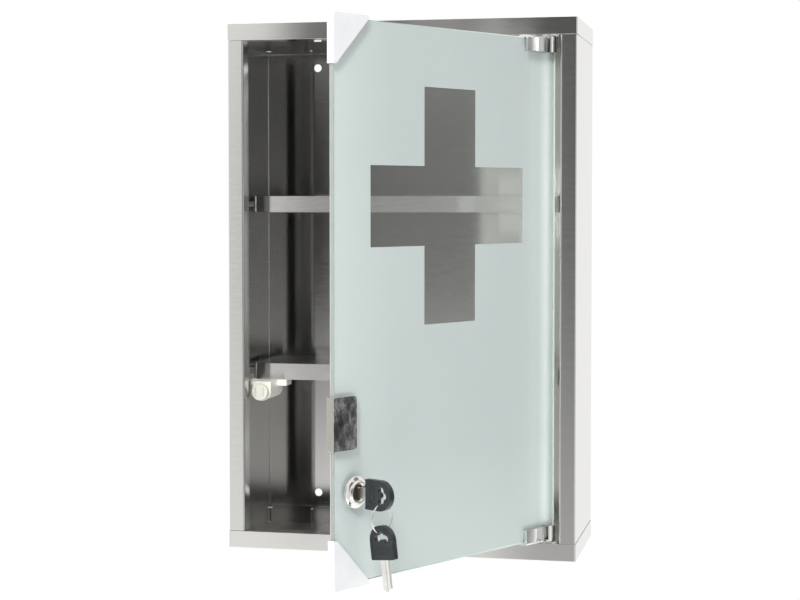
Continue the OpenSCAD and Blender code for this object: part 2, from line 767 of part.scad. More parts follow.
module hanging() translate([lock_x, ring_y, ring_top - ring_d]) rotate([-spare_lean, 0, 0])
  rotate([-90, 0, 0]) translate([0, -spare_eye_y, 0]) children();

// ---- catch --------------------------------------------------------------------

// Moulded housing, round underneath, hung by two ears and bored for the plunger.
module catch_housing() translate([catch_x, 0, catch_z]) difference() {
  union() {
    upright(catch_y, catch_end - catch_y) {
      translate([-catch_r, 0]) square([2 * catch_r, catch_h / 2]);
      circle(catch_r);
    }
    translate([-ear_w, shelf_front, catch_h / 2 - ear_t])
      cube([2 * ear_w, catch_end - shelf_front, ear_t]);
  }
  ycyl(stem_r + fit_gap, bore_end - catch_y + 1, catch_y - 1);
  ycyl(button_d / 2 - catch_dish, 2 * catch_dish, catch_y - catch_dish);
  for (s = [-1, 1]) translate([s * catch_screw_x, catch_screw_y, 0])
    cylinder(r = catch_screw_r + fit_gap, h = catch_h);
}

module catch_screw_pair() for (s = [-1, 1])
  translate([catch_x + s * catch_screw_x, catch_screw_y, catch_top - ear_t]) {
    mirror([0, 0, 1]) difference() {
      cylinder(r1 = catch_head[1], r2 = catch_head[0], h = catch_head[2]);
      cross_recess(catch_slot, catch_head[2]);
    }
    cylinder(r = catch_screw_r - fit_gap, h = ear_t + 3 * sheet);
  }

// Round button with two slots, and the stem that slides in the housing.
module plunger() translate([catch_x, 0, catch_z]) difference() {
  union() {
    ycyl(button_d / 2, button_t - button_ease, button_y + button_ease);
    translate([0, button_y, 0]) rotate([-90, 0, 0])
      cylinder(r1 = button_d / 2 - button_ease, r2 = button_d / 2, h = button_ease);
    ycyl(stem_r, stem_l + 1, button_y + button_t - 1);
  }
  for (s = [-1, 1]) translate([s * button_slot_x - button_slot[0] / 2,
                               button_y - button_slot[1], -button_slot[2] / 2])
    cube([button_slot[0], 2 * button_slot[1], button_slot[2]]);
}

// Coil spring between the stem and the end of the bore.
module spring_coil() {
  wire = spring_wire / 2;
  y0 = button_y + button_t + stem_l + spring_gap + wire;
  y1 = bore_end - spring_gap - wire;
  turn = 12;                                 // steps in a turn
  steps = spring_turns * turn;
  sides = 8;
  points = [for (i = [0 : steps], j = [0 : sides - 1])
    let (a = 360 * i / turn, b = 360 * j / sides, r = spring_r + wire * cos(b))
      [r * cos(a), y0 + (y1 - y0) * i / steps + wire * sin(b), r * sin(a)]];
  faces = concat(
    [[for (j = [0 : sides - 1]) j]],
    [for (i = [0 : steps - 1], j = [0 : sides - 1])
      let (k = (j + 1) % sides)
        [i * sides + j, (i + 1) * sides + j, (i + 1) * sides + k, i * sides + k]],
    [[for (j = [sides - 1 : -1 : 0]) steps * sides + j]]);
  translate([catch_x, 0, catch_z]) polyhedron(points, faces);
}

// ---- nodes --------------------------------------------------------------------

module left_side_panel() color("lightgray") cab() side_panel();
module right_side_panel() color("lightgray") cab() mirror([1, 0, 0]) side_panel();
module bottom_cap() color("silver") cab() cap_tray();
module top_cap() color("silver") cab() at_top() difference() {
  cap_tray();
  hang_slots();
}
module back_panel() color("gray") cab() back_sheet();
module upper_shelf() color("silver") cab() translate([0, 0, shelf_high]) shelf_tray();
module lower_shelf() color("silver") cab() translate([0, 0, shelf_low]) shelf_tray();
module shelf_studs() color("dimgray") cab() for (z = [shelf_low, shelf_high], y = stud_y)
  both_x() translate([0, y, z - stud_drop]) shelf_stud();
module lower_hinge_plate() color("gainsboro") cab() hinge_plate();
module upper_hinge_plate() color("gainsboro") cab() at_top() hinge_plate();
module hinge_plate_screws() color("darkgray") cab() {
  hinge_plate_screw();
  at_top() hinge_plate_screw();
}
module hinge_bushes() color("whitesmoke") cab() {
  hinge_bush();
  at_top() hinge_bush();
}
module catch_body() color("ivory") cab() catch_housing();
module catch_screws() color("darkgray") cab() catch_screw_pair();
module catch_plunger() color("ivory") cab() plunger();
module catch_spring() color("dimgray") cab() spring_coil();
module door_glass() color("azure", 0.5) door() difference() {
  upright(glass_depth, glass_t) glass_outline();
  lock_hole();
}
module frosted_film() color("honeydew", 0.8) door() difference() {
  upright(glass_back, film_t) difference() {
    glass_outline();
    cross_outline();
    clamp_window();
    translate([0, body_h]) mirror([0, 1]) clamp_window();
  }
  lock_hole();
}
module lower_clamp() color("silver") door() clamp();
module upper_clamp() color("silver") door() at_top() clamp();
module clamp_pads() color("darkslategray") door() {
  clamp_pad_pair();
  at_top() clamp_pad_pair();
}
module clamp_screws() color("dimgray") door() {
  clamp_grub_pair();
  at_top() clamp_grub_pair();
}
module hinge_pins() color("gray") door() {
  hinge_pin();
  at_top() hinge_pin();
}
module push_plate() color("silver") door() u_plate();
module corner_guard_bottom() color("white") door() corner_guard();
module corner_guard_top() color("white") door() at_top() corner_guard();
module lock_body() color("silver") door() lock_shell();
module lock_gasket() color("dimgray") door() gasket();
module lock_nut() color("silver") door() ring_nut();
module lock_plug() color("darkgray") door() plug();
module lock_cam() color("silver") door() cam();
module cam_screw() color("darkgray") door() screw_of_cam();
module key_blade() color("silver") door() in_lock() blade();
module key_bow() color("darkslategray") door() in_lock() bow();
module key_ring() color("silver") door() translate([lock_x, ring_y, ring_top - ring_r])
  rotate([90, 0, 0]) rotate_extrude() translate([ring_r, 0]) circle(wire_r);
module spare_key_blade() color("silver") door() hanging() blade();
module spare_key_bow() color("darkslategray") door() hanging() bow();

left_side_panel();
right_side_panel();
top_cap();
bottom_cap();
back_panel();
upper_shelf();
lower_shelf();
shelf_studs();
upper_hinge_plate();
lower_hinge_plate();
hinge_plate_screws();
hinge_bushes();
catch_body();
catch_screws();
catch_plunger();
catch_spring();
door_glass();
frosted_film();
upper_clamp();
lower_clamp();
clamp_pads();
clamp_screws();
hinge_pins();
push_plate();
corner_guard_top();
corner_guard_bottom();
lock_body();
lock_gasket();
lock_nut();
lock_plug();
lock_cam();
cam_screw();
key_blade();
key_bow();
key_ring();
spare_key_blade();
spare_key_bow();
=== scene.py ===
"""Looks of the lockable medicine cabinet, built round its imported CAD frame."""
import json
import math

import bmesh
import bpy
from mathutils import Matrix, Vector

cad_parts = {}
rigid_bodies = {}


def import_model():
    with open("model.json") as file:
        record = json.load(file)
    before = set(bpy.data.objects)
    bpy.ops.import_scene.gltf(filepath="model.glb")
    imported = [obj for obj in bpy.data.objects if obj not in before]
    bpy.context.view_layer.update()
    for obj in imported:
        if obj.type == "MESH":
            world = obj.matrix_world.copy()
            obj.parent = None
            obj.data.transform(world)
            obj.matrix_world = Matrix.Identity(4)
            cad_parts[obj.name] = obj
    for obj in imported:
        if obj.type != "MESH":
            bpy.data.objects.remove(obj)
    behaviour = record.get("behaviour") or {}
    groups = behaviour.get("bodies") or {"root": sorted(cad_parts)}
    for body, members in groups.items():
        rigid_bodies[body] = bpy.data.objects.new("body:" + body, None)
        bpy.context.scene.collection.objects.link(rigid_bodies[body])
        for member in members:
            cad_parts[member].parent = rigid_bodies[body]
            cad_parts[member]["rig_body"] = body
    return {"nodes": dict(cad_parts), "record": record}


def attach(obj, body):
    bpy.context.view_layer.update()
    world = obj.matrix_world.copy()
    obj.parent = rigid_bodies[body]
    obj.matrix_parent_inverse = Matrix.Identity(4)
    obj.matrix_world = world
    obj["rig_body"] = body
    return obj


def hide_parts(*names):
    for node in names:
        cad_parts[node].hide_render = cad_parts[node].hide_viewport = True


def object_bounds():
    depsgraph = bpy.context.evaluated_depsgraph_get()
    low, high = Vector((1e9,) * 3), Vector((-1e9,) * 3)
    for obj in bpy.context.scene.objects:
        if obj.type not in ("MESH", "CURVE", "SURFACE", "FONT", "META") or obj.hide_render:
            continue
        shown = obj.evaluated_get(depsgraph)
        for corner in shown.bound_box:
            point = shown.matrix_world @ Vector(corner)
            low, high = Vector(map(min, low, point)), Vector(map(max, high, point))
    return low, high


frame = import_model()
cad_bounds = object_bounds()

MM = 0.001
OPEN = math.radians(60.3)                       # the door stands open at rest
DOOR_NORMAL = Vector((math.sin(OPEN), -math.cos(OPEN), 0))   # out of the glass's front
DOOR_ACROSS = Vector((math.cos(OPEN), math.sin(OPEN), 0))    # towards the hinges
HINGE_REACH = max(v.co.dot(DOOR_ACROSS) for v in frame["nodes"]["door_glass"].data.vertices)

# ---- camera and studio ----------------------------------------------------------

CAMERA_AT = (0.3207, -1.5842, 0.0758)
CAMERA_YAW = 0.21513
CAMERA_PITCH = -0.040
CAMERA_LENS = 80.23
CAMERA_SHIFT = (0.0007, -0.0375)
FLOOR_DROP = 0.75                               # floor below the cabinet's base


def make_camera():
    data = bpy.data.cameras.new("camera")
    data.sensor_width = 36
    data.lens = CAMERA_LENS
    data.shift_x, data.shift_y = CAMERA_SHIFT
    data.clip_end = 50
    camera = bpy.data.objects.new("camera", data)
    camera.location = CAMERA_AT
    camera.rotation_euler = (math.pi / 2 + CAMERA_PITCH, 0, CAMERA_YAW)
    bpy.context.scene.collection.objects.link(camera)
    bpy.context.scene.camera = camera


# ---- node helpers ---------------------------------------------------------------

def new_material(name):
    material = bpy.data.materials.new(name)
    material.use_nodes = True
    tree = material.node_tree
    tree.nodes.clear()
    return material, tree


def add(tree, kind, inputs=None, **settings):
    node = tree.nodes.new(kind)
    for key, value in settings.items():
        setattr(node, key, value)
    for key, value in (inputs or {}).items():
        if isinstance(value, bpy.types.NodeSocket):
            tree.links.new(value, node.inputs[key])
        else:
            node.inputs[key].default_value = value
    return node


def math_node(tree, operation, a, b=None, c=None, clamp=False):
    inputs = {k: v for k, v in enumerate((a, b, c)) if v is not None}
    return add(tree, "ShaderNodeMath", inputs, operation=operation, use_clamp=clamp).outputs[0]


def ramp(tree, factor, stops):
    node = add(tree, "ShaderNodeValToRGB", {"Fac": factor})
    band = node.color_ramp
    while len(band.elements) > 1:
        band.elements.remove(band.elements[-1])
    for i, (place, shade) in enumerate(stops):
        element = band.elements[0] if i == 0 else band.elements.new(place)
        element.position = place
        colour = shade if isinstance(shade, tuple) else (shade, shade, shade)
        element.color = (*colour, 1)
    return node.outputs["Color"]


def to_range(tree, value, low, high, new_low, new_high):
    return add(tree, "ShaderNodeMapRange", {"Value": value, "From Min": low, "From Max": high,
                                            "To Min": new_low, "To Max": new_high}).outputs[0]


def stretched_noise(tree, scales, size, detail=3.0, rough=0.6):
    """Noise in the piece's own coordinates, drawn out by the three scales."""
    place = add(tree, "ShaderNodeTexCoord").outputs["Object"]
    mapped = add(tree, "ShaderNodeMapping", {"Vector": place, "Scale": scales}).outputs[0]
    return add(tree, "ShaderNodeTexNoise", {"Vector": mapped, "Scale": size, "Detail": detail,
                                            "Roughness": rough}).outputs["Fac"]


def scaled(tree, colour, tone):
    """A colour made lighter or darker by a tone."""
    return add(tree, "ShaderNodeVectorMath", {0: colour, "Scale": tone},
               operation="SCALE").outputs[0]


def straight_for_light(tree, seen, colour):
    """What is seen, or a plain tinted pass-through for shadow and diffuse rays."""
    through = add(tree, "ShaderNodeBsdfTransparent", {"Color": colour})
    path = add(tree, "ShaderNodeLightPath").outputs
    straight = math_node(tree, "MAXIMUM", path["Is Shadow Ray"], path["Is Diffuse Ray"])
    return add(tree, "ShaderNodeMixShader", {0: straight, 1: seen,
                                             2: through.outputs[0]}).outputs[0]


def finish_material(tree, shader):
    add(tree, "ShaderNodeOutputMaterial", {"Surface": shader})


# ---- materials ------------------------------------------------------------------

def brushed_steel(name, colour, grain, rough=0.12, streak=0.03):
    """Brushed stainless: grain is "x" for lines across the cabinet and "z" for upright ones.
    Reflections smear across the lines and stay sharp along them."""
    material, tree = new_material(name)
    across = (0, 0.01, 1) if grain == "x" else (1, 0.01, 0)
    hair = stretched_noise(tree, (1, 1, 180) if grain == "x" else (180, 180, 1), 25, 2)
    marks = stretched_noise(tree, (4, 4, 45) if grain == "x" else (45, 45, 4), 20, 3)
    mix = math_node(tree, "ADD", math_node(tree, "MULTIPLY", hair, 0.5),
                    math_node(tree, "MULTIPLY", marks, 0.5))
    tone = to_range(tree, mix, 0.35, 0.65, 1 - streak, 1 + streak)
    shade = scaled(tree, colour, tone)
    roughness = to_range(tree, marks, 0.3, 0.7, rough - 0.01, rough + 0.01)
    bump = add(tree, "ShaderNodeBump", {"Strength": 0.001, "Distance": 0.00001, "Height": hair})
    tangent = add(tree, "ShaderNodeVectorTransform", {"Vector": across}, vector_type="VECTOR",
                  convert_from="OBJECT", convert_to="WORLD")
    shader = add(tree, "ShaderNodeBsdfPrincipled", {
        "Base Color": shade, "Metallic": 1.0, "Roughness": roughness,
        "Anisotropic": 1.0, "Tangent": tangent.outputs[0], "Normal": bump.outputs[0]})
    finish_material(tree, shader.outputs[0])
    return material


def polished(name, colour, rough=0.06, smudge=0.05):
    """Chrome or nickel plate with faint handling smears."""
    material, tree = new_material(name)
    cloud = stretched_noise(tree, (1, 1, 1), 45, 4)
    roughness = to_range(tree, cloud, 0.35, 0.75, rough, rough + smudge)
    ripple = stretched_noise(tree, (1, 1, 1), 220, 2)
    bump = add(tree, "ShaderNodeBump", {"Strength": 0.05, "Distance": 0.00005, "Height": ripple})
    tone = to_range(tree, cloud, 0.2, 0.8, 0.94, 1.02)
    shade = scaled(tree, colour, tone)
    shader = add(tree, "ShaderNodeBsdfPrincipled", {
        "Base Color": shade, "Metallic": 1.0, "Roughness": roughness,
        "Normal": bump.outputs[0]})
    finish_material(tree, shader.outputs[0])
    return material


def moulded(name, colour, rough, grain=600, depth=0.00004, variation=0.05, subsurface=0.0,
            gloss=0.5):
    """Moulded plastic or rubber with a fine spark-eroded grain."""
    material, tree = new_material(name)
    pits = stretched_noise(tree, (1, 1, 1), grain, 3, 0.7)
    cloud = stretched_noise(tree, (1, 1, 1), 60, 3)
    tone = to_range(tree, cloud, 0.3, 0.7, 1 - variation, 1 + variation)
    shade = scaled(tree, colour, tone)
    roughness = to_range(tree, cloud, 0.3, 0.7, rough - 0.04, rough + 0.08)
    bump = add(tree, "ShaderNodeBump", {"Strength": 0.35, "Distance": depth, "Height": pits})
    shader = add(tree, "ShaderNodeBsdfPrincipled", {
        "Base Color": shade, "Roughness": roughness, "Normal": bump.outputs[0],
        "Subsurface Weight": subsurface, "Subsurface Scale": 0.002, "Specular IOR Level": gloss})
    finish_material(tree, shader.outputs[0])
    return material


def clear_pane():
    """Float glass: it bends what is seen through it, and lets light pass straight."""
    material, tree = new_material("clear_pane")
    smear = stretched_noise(tree, (1, 1, 3), 18, 3)
    roughness = to_range(tree, smear, 0.4, 0.8, 0.0, 0.012)
    glass = add(tree, "ShaderNodeBsdfGlass", {"Color": (0.977, 0.986, 0.975, 1), "IOR": 1.5,
                                              "Roughness": roughness})
    finish_material(tree, straight_for_light(tree, glass.outputs[0], (0.95, 0.975, 0.96, 1)))
    return material


def distance_from_hinge(tree):
    """Metres from the pane's hinge-side edge, across the door."""
    place = add(tree, "ShaderNodeTexCoord").outputs["Object"]
    reach = add(tree, "ShaderNodeVectorMath", {0: place, 1: DOOR_ACROSS},
                operation="DOT_PRODUCT").outputs["Value"]
    return math_node(tree, "SUBTRACT", HINGE_REACH, reach)


def glass_edge():
    """Ground edge of the glass: a pale, slightly green matt band that lets light in. A painted
    highlight makes it brightest by the hinge and fades it to 0.38 across the door.
    """
    material, tree = new_material("glass_edge")
    wander = stretched_noise(tree, (1, 1, 1), 120, 3)
    base = ramp(tree, wander, [(0.3, (0.66, 0.74, 0.68)), (0.7, (0.74, 0.81, 0.73))])
    # painted highlight by the hinge side, fading to 0.38 of the tone from 5 to 25 cm away
    tone = to_range(tree, distance_from_hinge(tree), 0.05, 0.25, 1.0, 0.38)
    colour = scaled(tree, base, tone)
    ground = add(tree, "ShaderNodeBsdfPrincipled", {
        "Base Color": colour, "Roughness": 0.22, "Transmission Weight": 0.15, "IOR": 1.5})
    finish_material(tree, straight_for_light(tree, ground.outputs[0], (0.93, 0.97, 0.94, 1)))
    return material


def chrome_with_painted_reflection(name):
    """Plate chrome whose colour runs in clouds from near black to bright: a painted reflection of
    a mottled mirror.
    """
    material, tree = new_material(name)
    cloud = stretched_noise(tree, (1, 1, 0.6), 120, 5, 0.7)
    # painted reflection: colour clouds from near black to bright stand in for the plate's mottled
    # reflections
    colour = ramp(tree, cloud, [(0.36, (0.11, 0.11, 0.115)), (0.5, (0.33, 0.33, 0.335)),
                                (0.62, (0.80, 0.80, 0.80))])
    waves = stretched_noise(tree, (1, 1, 0.4), 260, 3)
    bump = add(tree, "ShaderNodeBump", {"Strength": 0.2, "Distance": 0.00006, "Height": waves})
    shader = add(tree, "ShaderNodeBsdfPrincipled", {
        "Base Color": colour, "Metallic": 1.0, "Roughness": 0.1, "Normal": bump.outputs[0]})
    finish_material(tree, shader.outputs[0])
    return material


# Painted light: tone of the frosted layer by its distance in mm from the hinge-side edge, set to
# the tones of the photographed door.
HINGE_PAINTED_LIGHT = [(0, 1.75), (9.6, 1.7), (13.8, 1.42), (17.9, 1.18), (21, 1.10), (29, 1.08),
              (34, 1.06), (43, 1.03), (60, 1)]
LIFT_REACH = HINGE_PAINTED_LIGHT[-1][0]
LIFT_TOP = 2                                    # a ramp holds 0 to 1, so the lift is halved in it


def frosted():
    """Frosted layer: pale, slightly green, passing a little blurred light. Its colour holds
    painted light: lighter by the hinge edge, towards the foot and towards the free edge.
    """
    material, tree = new_material("frosted_surface")
    grain = stretched_noise(tree, (1, 1, 1), 900, 2, 0.8)
    cloud = stretched_noise(tree, (1, 1, 1), 7, 2)
    base = ramp(tree, cloud, [(0.3, (0.508, 0.530, 0.550)), (0.7, (0.528, 0.550, 0.570))])
    place = add(tree, "ShaderNodeTexCoord").outputs["Object"]
    from_hinge = distance_from_hinge(tree)
    # painted light: the layer is up to 1.75 times lighter by the hinge-side edge
    painted_light_near_hinge = ramp(tree, to_range(tree, from_hinge, 0, LIFT_REACH * MM, 0, 1),
                      [(x / LIFT_REACH, v / LIFT_TOP) for x, v in HINGE_PAINTED_LIGHT])
    height = add(tree, "ShaderNodeSeparateXYZ", {0: place}).outputs[2]
    # painted light: the layer is up to 1.10 times lighter towards its foot
    painted_light_near_foot = to_range(tree, height, -0.12, -0.215, 1, 1.10)
    # painted light: the layer is up to 1.14 times lighter over the last stretch to the free edge
    painted_light_near_free = to_range(tree, from_hinge, 0.195, 0.262, 1, 1.14)
    lift = math_node(tree, "MULTIPLY", math_node(tree, "MULTIPLY", painted_light_near_hinge, LIFT_TOP),
                     math_node(tree, "MULTIPLY", painted_light_near_foot, painted_light_near_free))
    colour = scaled(tree, base, lift)
    bump = add(tree, "ShaderNodeBump", {"Strength": 0.15, "Distance": 0.00002, "Height": grain})
    diffuse = add(tree, "ShaderNodeBsdfDiffuse", {"Color": colour, "Normal": bump.outputs[0]})
    glow = add(tree, "ShaderNodeBsdfTranslucent", {"Color": colour})
    haze = add(tree, "ShaderNodeBsdfRefraction", {"Color": (0.90, 0.95, 0.93, 1),
                                                  "Roughness": 0.45, "IOR": 1.08})
    soft = add(tree, "ShaderNodeMixShader", {0: 0.06, 1: diffuse.outputs[0], 2: glow.outputs[0]})
    veil = add(tree, "ShaderNodeMixShader", {0: 0.04, 1: soft.outputs[0], 2: haze.outputs[0]})
    open_air = add(tree, "ShaderNodeBsdfTransparent", {"Color": (0.12, 0.13, 0.13, 1)})
    shadow = add(tree, "ShaderNodeLightPath").outputs["Is Shadow Ray"]
    mixed = add(tree, "ShaderNodeMixShader", {0: shadow, 1: veil.outputs[0],
                                              2: open_air.outputs[0]})
    finish_material(tree, mixed.outputs[0])
    return material


def translucent_guard():
    """Thin white moulding that lets a little light through."""
    material, tree = new_material("guard_plastic")
    cloud = stretched_noise(tree, (1, 1, 1), 55, 4)
    colour = ramp(tree, cloud, [(0.3, (0.66, 0.675, 0.685)), (0.7, (0.71, 0.725, 0.735))])
    pits = stretched_noise(tree, (1, 1, 1), 350, 3)
    bump = add(tree, "ShaderNodeBump", {"Strength": 0.3, "Distance": 0.00008, "Height": pits})
    solid = add(tree, "ShaderNodeBsdfPrincipled", {"Base Color": colour, "Roughness": 0.42,
                                                   "Normal": bump.outputs[0]})
    glow = add(tree, "ShaderNodeBsdfTranslucent", {"Color": colour})
    mixed = add(tree, "ShaderNodeMixShader", {0: 0.15, 1: solid.outputs[0], 2: glow.outputs[0]})
    finish_material(tree, mixed.outputs[0])
    return material


def make_materials():
    steel = (0.63, 0.625, 0.61)
    return {
        "panel_steel": brushed_steel("panel_steel", steel, "x"),
        "cap_steel": brushed_steel("cap_steel", (0.66, 0.655, 0.64), "x", 0.09),
        "back_steel": brushed_steel("back_steel", (0.62, 0.615, 0.60), "x", 0.07),
        "shelf_steel": brushed_steel("shelf_steel", (0.62, 0.615, 0.605), "x", 0.17),
        # painted highlight: a pale non-metal finish on the fold faces stands for the bright line a
        # fold catches
        "fold_painted_highlight": moulded("fold_painted_highlight", (0.93, 0.93, 0.91), 0.3, 600, 0.00001),
        "inner_steel": brushed_steel("inner_steel", (0.60, 0.59, 0.57), "x", 0.24),
        "stud_steel": polished("stud_steel", (0.5, 0.5, 0.49), 0.25, 0.1),
        "hinge_plate": polished("hinge_plate", (0.78, 0.78, 0.77), 0.12),
        "screw_steel": polished("screw_steel", (0.62, 0.61, 0.58), 0.2, 0.1),
        "bush_nylon": moulded("bush_nylon", (0.80, 0.80, 0.76), 0.45),
        "catch_plastic": moulded("catch_plastic", (0.95, 0.93, 0.86), 0.32, 500, 0.00002, 0.03,
                                 subsurface=0.1),
        # painted shade: the plunger gets a darker copy of the catch's ivory plastic, set against
        # the lamp light it faces
        "plunger_shaded_plastic": moulded("plunger_shaded_plastic", (0.68, 0.665, 0.60), 0.35, 500, 0.00002,
                                   0.03),
        "spring_steel": polished("spring_steel", (0.5, 0.5, 0.5), 0.25),
        "clamp_chrome": polished("clamp_chrome", (0.82, 0.82, 0.81), 0.025, 0.02),
        "pad_rubber": moulded("pad_rubber", (0.62, 0.65, 0.64), 0.5),
        "pin_steel": polished("pin_steel", (0.6, 0.6, 0.59), 0.2),
        "plate_chrome": chrome_with_painted_reflection("plate_chrome"),
        "plate_side": polished("plate_side", (0.66, 0.655, 0.58), 0.08),
        "lock_chrome": polished("lock_chrome", (0.8, 0.79, 0.77), 0.09),
        "lock_nut_steel": polished("lock_nut_steel", (0.68, 0.67, 0.64), 0.2, 0.1),
        # painted reflection: the plug's colour is far darker than nickel, standing for the dark
        # reflection in the lock's recess
        "plug_nickel": polished("plug_nickel", (0.09, 0.07, 0.05), 0.3, 0.12),
        "cam_steel": brushed_steel("cam_steel", (0.58, 0.575, 0.55), "z", 0.22),
        "key_nickel": polished("key_nickel", (0.93, 0.925, 0.90), 0.28, 0.08),
        "key_plastic": moulded("key_plastic", (0.016, 0.019, 0.022), 0.22, 450, 0.00006, 0.12,
                               gloss=0.42),
        "ring_steel": polished("ring_steel", (0.72, 0.72, 0.72), 0.12),
        "guard_plastic": translucent_guard(),
        "frosted_surface": frosted(),
        # painted shade: the film's back is given a darker colour than its front, though both are
        # one etched surface
        "frosted_back_shaded": moulded("frosted_back_shaded", (0.46, 0.474, 0.466), 0.7, 900, 0.00001),
        "clear_glass": clear_pane(),
        "glass_edge": glass_edge(),
    }


# ---- pieces ---------------------------------------------------------------------

WELD = 2e-6                                     # joins the split corners of a CAD mesh
BEVEL_WELD = 1e-6
FLAT_WITHIN = math.radians(0.6)
SMOOTH_WITHIN = math.radians(50)
FILM_GAP = 0.03 * MM
GLASS_BEVEL = 0.35
PLATE_BEVEL = 0.3
OWN_FINISH = {"catch_plunger": "plunger_shaded_plastic"}
FOLDED = {"top_cap": 0.45, "bottom_cap": 0.45, "upper_shelf": 0.8, "lower_shelf": 0.8}   # mm


def dressed_mesh(node, bevel, segments, sharp=28):
    """The node's own form with its flats rejoined and its sharp edges rounded."""
    mesh = bmesh.new()
    mesh.from_mesh(frame["nodes"][node].data)
    bmesh.ops.remove_doubles(mesh, verts=mesh.verts, dist=WELD)
    bmesh.ops.dissolve_limit(mesh, angle_limit=FLAT_WITHIN, verts=mesh.verts,
                             edges=mesh.edges, use_dissolve_boundaries=False)
    if bevel > 0:
        edges = [e for e in mesh.edges if e.is_manifold
                 and e.calc_face_angle(0) > math.radians(sharp)]
        bmesh.ops.bevel(mesh, geom=edges, offset=bevel, segments=segments, profile=0.5,
                        affect="EDGES", clamp_overlap=True)
        bmesh.ops.remove_doubles(mesh, verts=mesh.verts, dist=BEVEL_WELD)
    return mesh


def piece_from(node, mesh, materials):
    """Puts a finished mesh in the scene in the node's place."""
    data = bpy.data.meshes.new(node + "_piece")
    mesh.to_mesh(data)
    mesh.free()
    for material in materials:
        data.materials.append(material)
    data.shade_smooth()
    data.set_sharp_from_angle(angle=SMOOTH_WITHIN)
    piece = bpy.data.objects.new(node + "_piece", data)
    bpy.context.scene.collection.objects.link(piece)
    even = piece.modifiers.new("even_normals", "WEIGHTED_NORMAL")
    even.keep_sharp = True
    even.weight = 100
    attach(piece, frame["nodes"][node]["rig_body"])
    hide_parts(node)
    return piece


def dress(node, slot, bevel, segments=2):
    finish = MATERIALS[OWN_FINISH.get(node, slot)]
    return piece_from(node, dressed_mesh(node, bevel * MM, segments), [finish])


def dress_folded(node, slot, bevel):
    """Folded sheet: its sloped fold faces get a pale non-metal finish, a painted highlight along
    the long level folds.
    """
    mesh = dressed_mesh(node, bevel * MM, 2)
    for face in mesh.faces:
        slope = abs(face.normal.z)
        face.material_index = 0 if slope < 0.15 else 1 if slope < 0.98 else 2
    flats = MATERIALS["inner_steel"] if node == "bottom_cap" else MATERIALS[slot]
    return piece_from(node, mesh, [MATERIALS[slot], MATERIALS["fold_painted_highlight"], flats])


def dress_glass():
    """The pane, with its ground edges given their own finish."""
    mesh = dressed_mesh("door_glass", GLASS_BEVEL * MM, 2)
    for face in mesh.faces:
        face.material_index = 0 if abs(face.normal.dot(DOOR_NORMAL)) > 0.99 else 1
    return piece_from("door_glass", mesh, [MATERIALS["clear_glass"], MATERIALS["glass_edge"]])


def dress_push_plate():
    """The pull: its broad face is chrome with painted reflection clouds, its edges and return are
    plain.
    """
    mesh = dressed_mesh("push_plate", PLATE_BEVEL * MM, 2)
    for face in mesh.faces:
        face.material_index = 0 if face.normal.dot(DOOR_NORMAL) > 0.9 else 1
    return piece_from("push_plate", mesh, [MATERIALS["plate_chrome"], MATERIALS["plate_side"]])


def dress_film():
    """The frosted layer, its front drawn back by a hair so it does not share the glass's face."""
    mesh = dressed_mesh("frosted_film", 0, 1)
    depth = {v: v.co.dot(DOOR_NORMAL) for v in mesh.verts}
    low, high = min(depth.values()), max(depth.values())
    glass = frame["nodes"]["door_glass"].data
    middle = sum(v.co.dot(DOOR_NORMAL) for v in glass.vertices) / len(glass.vertices)
    near, inward = (high, -1) if middle > high else (low, 1)
    for vert, at in depth.items():
        if abs(at - near) < 1e-6:
            vert.co += DOOR_NORMAL * (inward * FILM_GAP)
    for face in mesh.faces:
        face.material_index = 1 if face.normal.dot(DOOR_NORMAL) < -0.9 else 0
    return piece_from("frosted_film", mesh,
                      [MATERIALS["frosted_surface"], MATERIALS["frosted_back_shaded"]])


BEVELS = {                                      # mm; 0 keeps the node's edges
    "left_side_panel": 0.4, "right_side_panel": 0.4, "back_panel": 0.15, "shelf_studs": 0.2,
    "upper_hinge_plate": 0.25, "lower_hinge_plate": 0.25, "hinge_plate_screws": 0.1,
    "hinge_bushes": 0.2, "catch_body": 0.6, "catch_screws": 0.1, "catch_plunger": 0.35,
    "catch_spring": 0, "upper_clamp": 0.5, "lower_clamp": 0.5,
    "clamp_pads": 0.2, "clamp_screws": 0.15, "hinge_pins": 0.2,
    "corner_guard_top": 0.5, "corner_guard_bottom": 0.5, "lock_body": 0.15,
    "lock_gasket": 0.2, "lock_nut": 0.3, "lock_plug": 0.2, "lock_cam": 0.3, "cam_screw": 0.2,
    "key_blade": 0.15, "key_bow": 0.45, "key_ring": 0, "spare_key_blade": 0.15,
    "spare_key_bow": 0.45,
}


# ---- studio ---------------------------------------------------------------------

